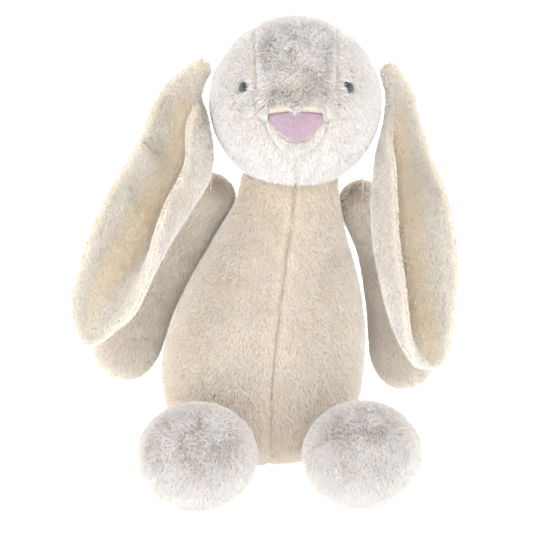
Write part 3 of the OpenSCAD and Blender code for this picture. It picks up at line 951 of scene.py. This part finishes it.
for leg, (way, foot) in FEET.items():
    stations = []
    for t, a, b in ((0, HIP_R, HIP_R), (0.4, 50, 46), (0.75, 63, 55), (1, FOOT_W, FOOT_H)):
        p = mix(HIP, foot, t)
        stations.append((*from_torso(way * p[0], p[1], p[2]), a, b))
    grid = limb_grid(stations, (0, 0, 1), SOLE_REACH, PILE, PILE * 0.55)
    skin = Skin(f"leg_{leg}_fabric", grid, f"leg_{leg}", {"along": slope(grid)})
    skin.build(
        f"leg_{leg}_outer", f"leg_{leg}_inner", f"foot_{leg}_sole", f"leg_{leg}_stuffing", fill=0.7
    )
    foot_at, hip_at = np.array(stations[-1][:3]), np.array(stations[0][:3])
    leg_way = unit(foot_at - hip_at)

    def on_sole(p, foot_at=foot_at, leg_way=leg_way):
        return (p - foot_at) @ leg_way > SOLE_FROM

    def is_outer(p, hip_at=hip_at, leg_way=leg_way, way=way):
        beside = np.cross(leg_way, [0, 0, 1]) * way
        return (p - hip_at) @ beside < 0

    for part in ("outer", "inner", "sole"):

        def leg_keep(p, part=part, on_sole=on_sole, is_outer=is_outer):
            sole = on_sole(p)
            grown = sole if part == "sole" else (~sole & (is_outer(p) == (part == "outer")))
            return grown * 1.0 + HARDLY_ANY

        grow(
            f"foot_{leg}_sole_pile" if part == "sole" else f"leg_{leg}_{part}_pile",
            skin,
            34000,
            HEAD_PILE,
            down_the_leg,
            length=6.6,
            lean=0.7,
            keep=leg_keep,
            seed=51 + 3 * (leg == "left") + ("outer", "inner", "sole").index(part),
        )

# ---- tail -----------------------------------------------------------------------------

tail_low, tail_high = (np.array(c) * MM_IN_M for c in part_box("tail_cover"))
tail_middle, tail_half = (tail_low + tail_high) / 2, (tail_high - tail_low) / 2 - 6.5


def egg_grid(middle, half, rows=50, cols=70):
    v = np.linspace(0, np.pi, rows)[:, None]
    u = np.linspace(0, 2 * np.pi, cols, endpoint=False)[None, :]
    shape = np.stack([np.sin(v) * np.cos(u), np.sin(v) * np.sin(u), np.cos(v) * np.ones_like(u)], -1)
    return middle + shape * half


tail = Skin("tail_fabric", egg_grid(tail_middle, tail_half), "torso")
tail.build("tail_cover", "tail_stuffing", fill=0.6)
grow("tail_pile", tail, 22000, BODY_PILE, downwards, length=11.0, lean=0.35, tuft=8.0, seed=61)

# ---- small parts -------------------------------------------------------------------------

for way in ("left", "right"):
    for node, material in ((f"eye_{way}", BEAD), (f"eye_washer_{way}", WASHER)):
        NODES[node].data.materials.clear()
        NODES[node].data.materials.append(material)
        smooth(NODES[node])
for node, obj in NODES.items():
    if node.endswith("stitch"):
        obj.data.materials.clear()
        obj.data.materials.append(THREAD)

# ---- light and floor ------------------------------------------------------------------------


SWEEP_FROM, SWEEP_R = 2.5, 1.6
FLOOR_GLOW, WORLD_GLOW = 0.75, 0.64


def backdrop():
    """A pale floor that rises behind in one sweep."""
    profile = [(-6, 0)]
    for a in np.linspace(0, math.pi / 2, 24):
        profile.append((SWEEP_FROM + SWEEP_R * math.sin(a), SWEEP_R - SWEEP_R * math.cos(a)))
    profile.append((SWEEP_FROM + SWEEP_R, 7))
    points, faces = [], []
    for y, z in profile:
        for x in (-9, 9):
            points.append((x * MM_IN_M, y * MM_IN_M, z * MM_IN_M))
    for k in range(len(profile) - 1):
        faces.append((2 * k, 2 * k + 1, 2 * k + 3, 2 * k + 2))
    m, shader = new_material("pale_sweep", (0.93, 0.93, 0.93), 0.9)
    shader.inputs["Emission Color"].default_value = (1, 1, 1, 1)
    shader.inputs["Emission Strength"].default_value = FLOOR_GLOW
    obj = make_mesh("pale_floor", points, faces, [m], None)
    smooth(obj)


backdrop()


def area_light(name, at, aim, size, watts):
    data = bpy.data.lights.new(name, "AREA")
    data.shape = "RECTANGLE"
    data.size, data.size_y = size
    data.energy = watts
    obj = bpy.data.objects.new(name, data)
    bpy.context.scene.collection.objects.link(obj)
    obj.location = at
    obj.rotation_euler = (Vector(aim) - Vector(at)).to_track_quat("-Z", "Y").to_euler()


MIDDLE, LOW_MIDDLE = (0.0, 0.0, 0.28), (0.0, 0.0, 0.1)
area_light("left_softbox", (-2.2, -0.6, 1.1), MIDDLE, (1.6, 2.0), 21.5)
area_light("right_softbox", (2.2, -0.6, 1.1), MIDDLE, (1.6, 2.0), 20.5)
area_light("top_softbox", (0.0, 0.5, 2.3), MIDDLE, (2.0, 1.6), 15)
area_light("front_softbox", (0.0, -2.0, 1.9), MIDDLE, (2.4, 1.6), 12)
area_light("low_softbox", (0.0, -1.7, 0.22), LOW_MIDDLE, (1.8, 0.3), 4)

world = bpy.data.worlds.new("studio")
bpy.context.scene.world = world
world.use_nodes = True
world.node_tree.nodes["Background"].inputs["Color"].default_value = (1, 1, 1, 1)
world.node_tree.nodes["Background"].inputs["Strength"].default_value = WORLD_GLOW
bpy.context.scene.view_settings.view_transform = "Standard"
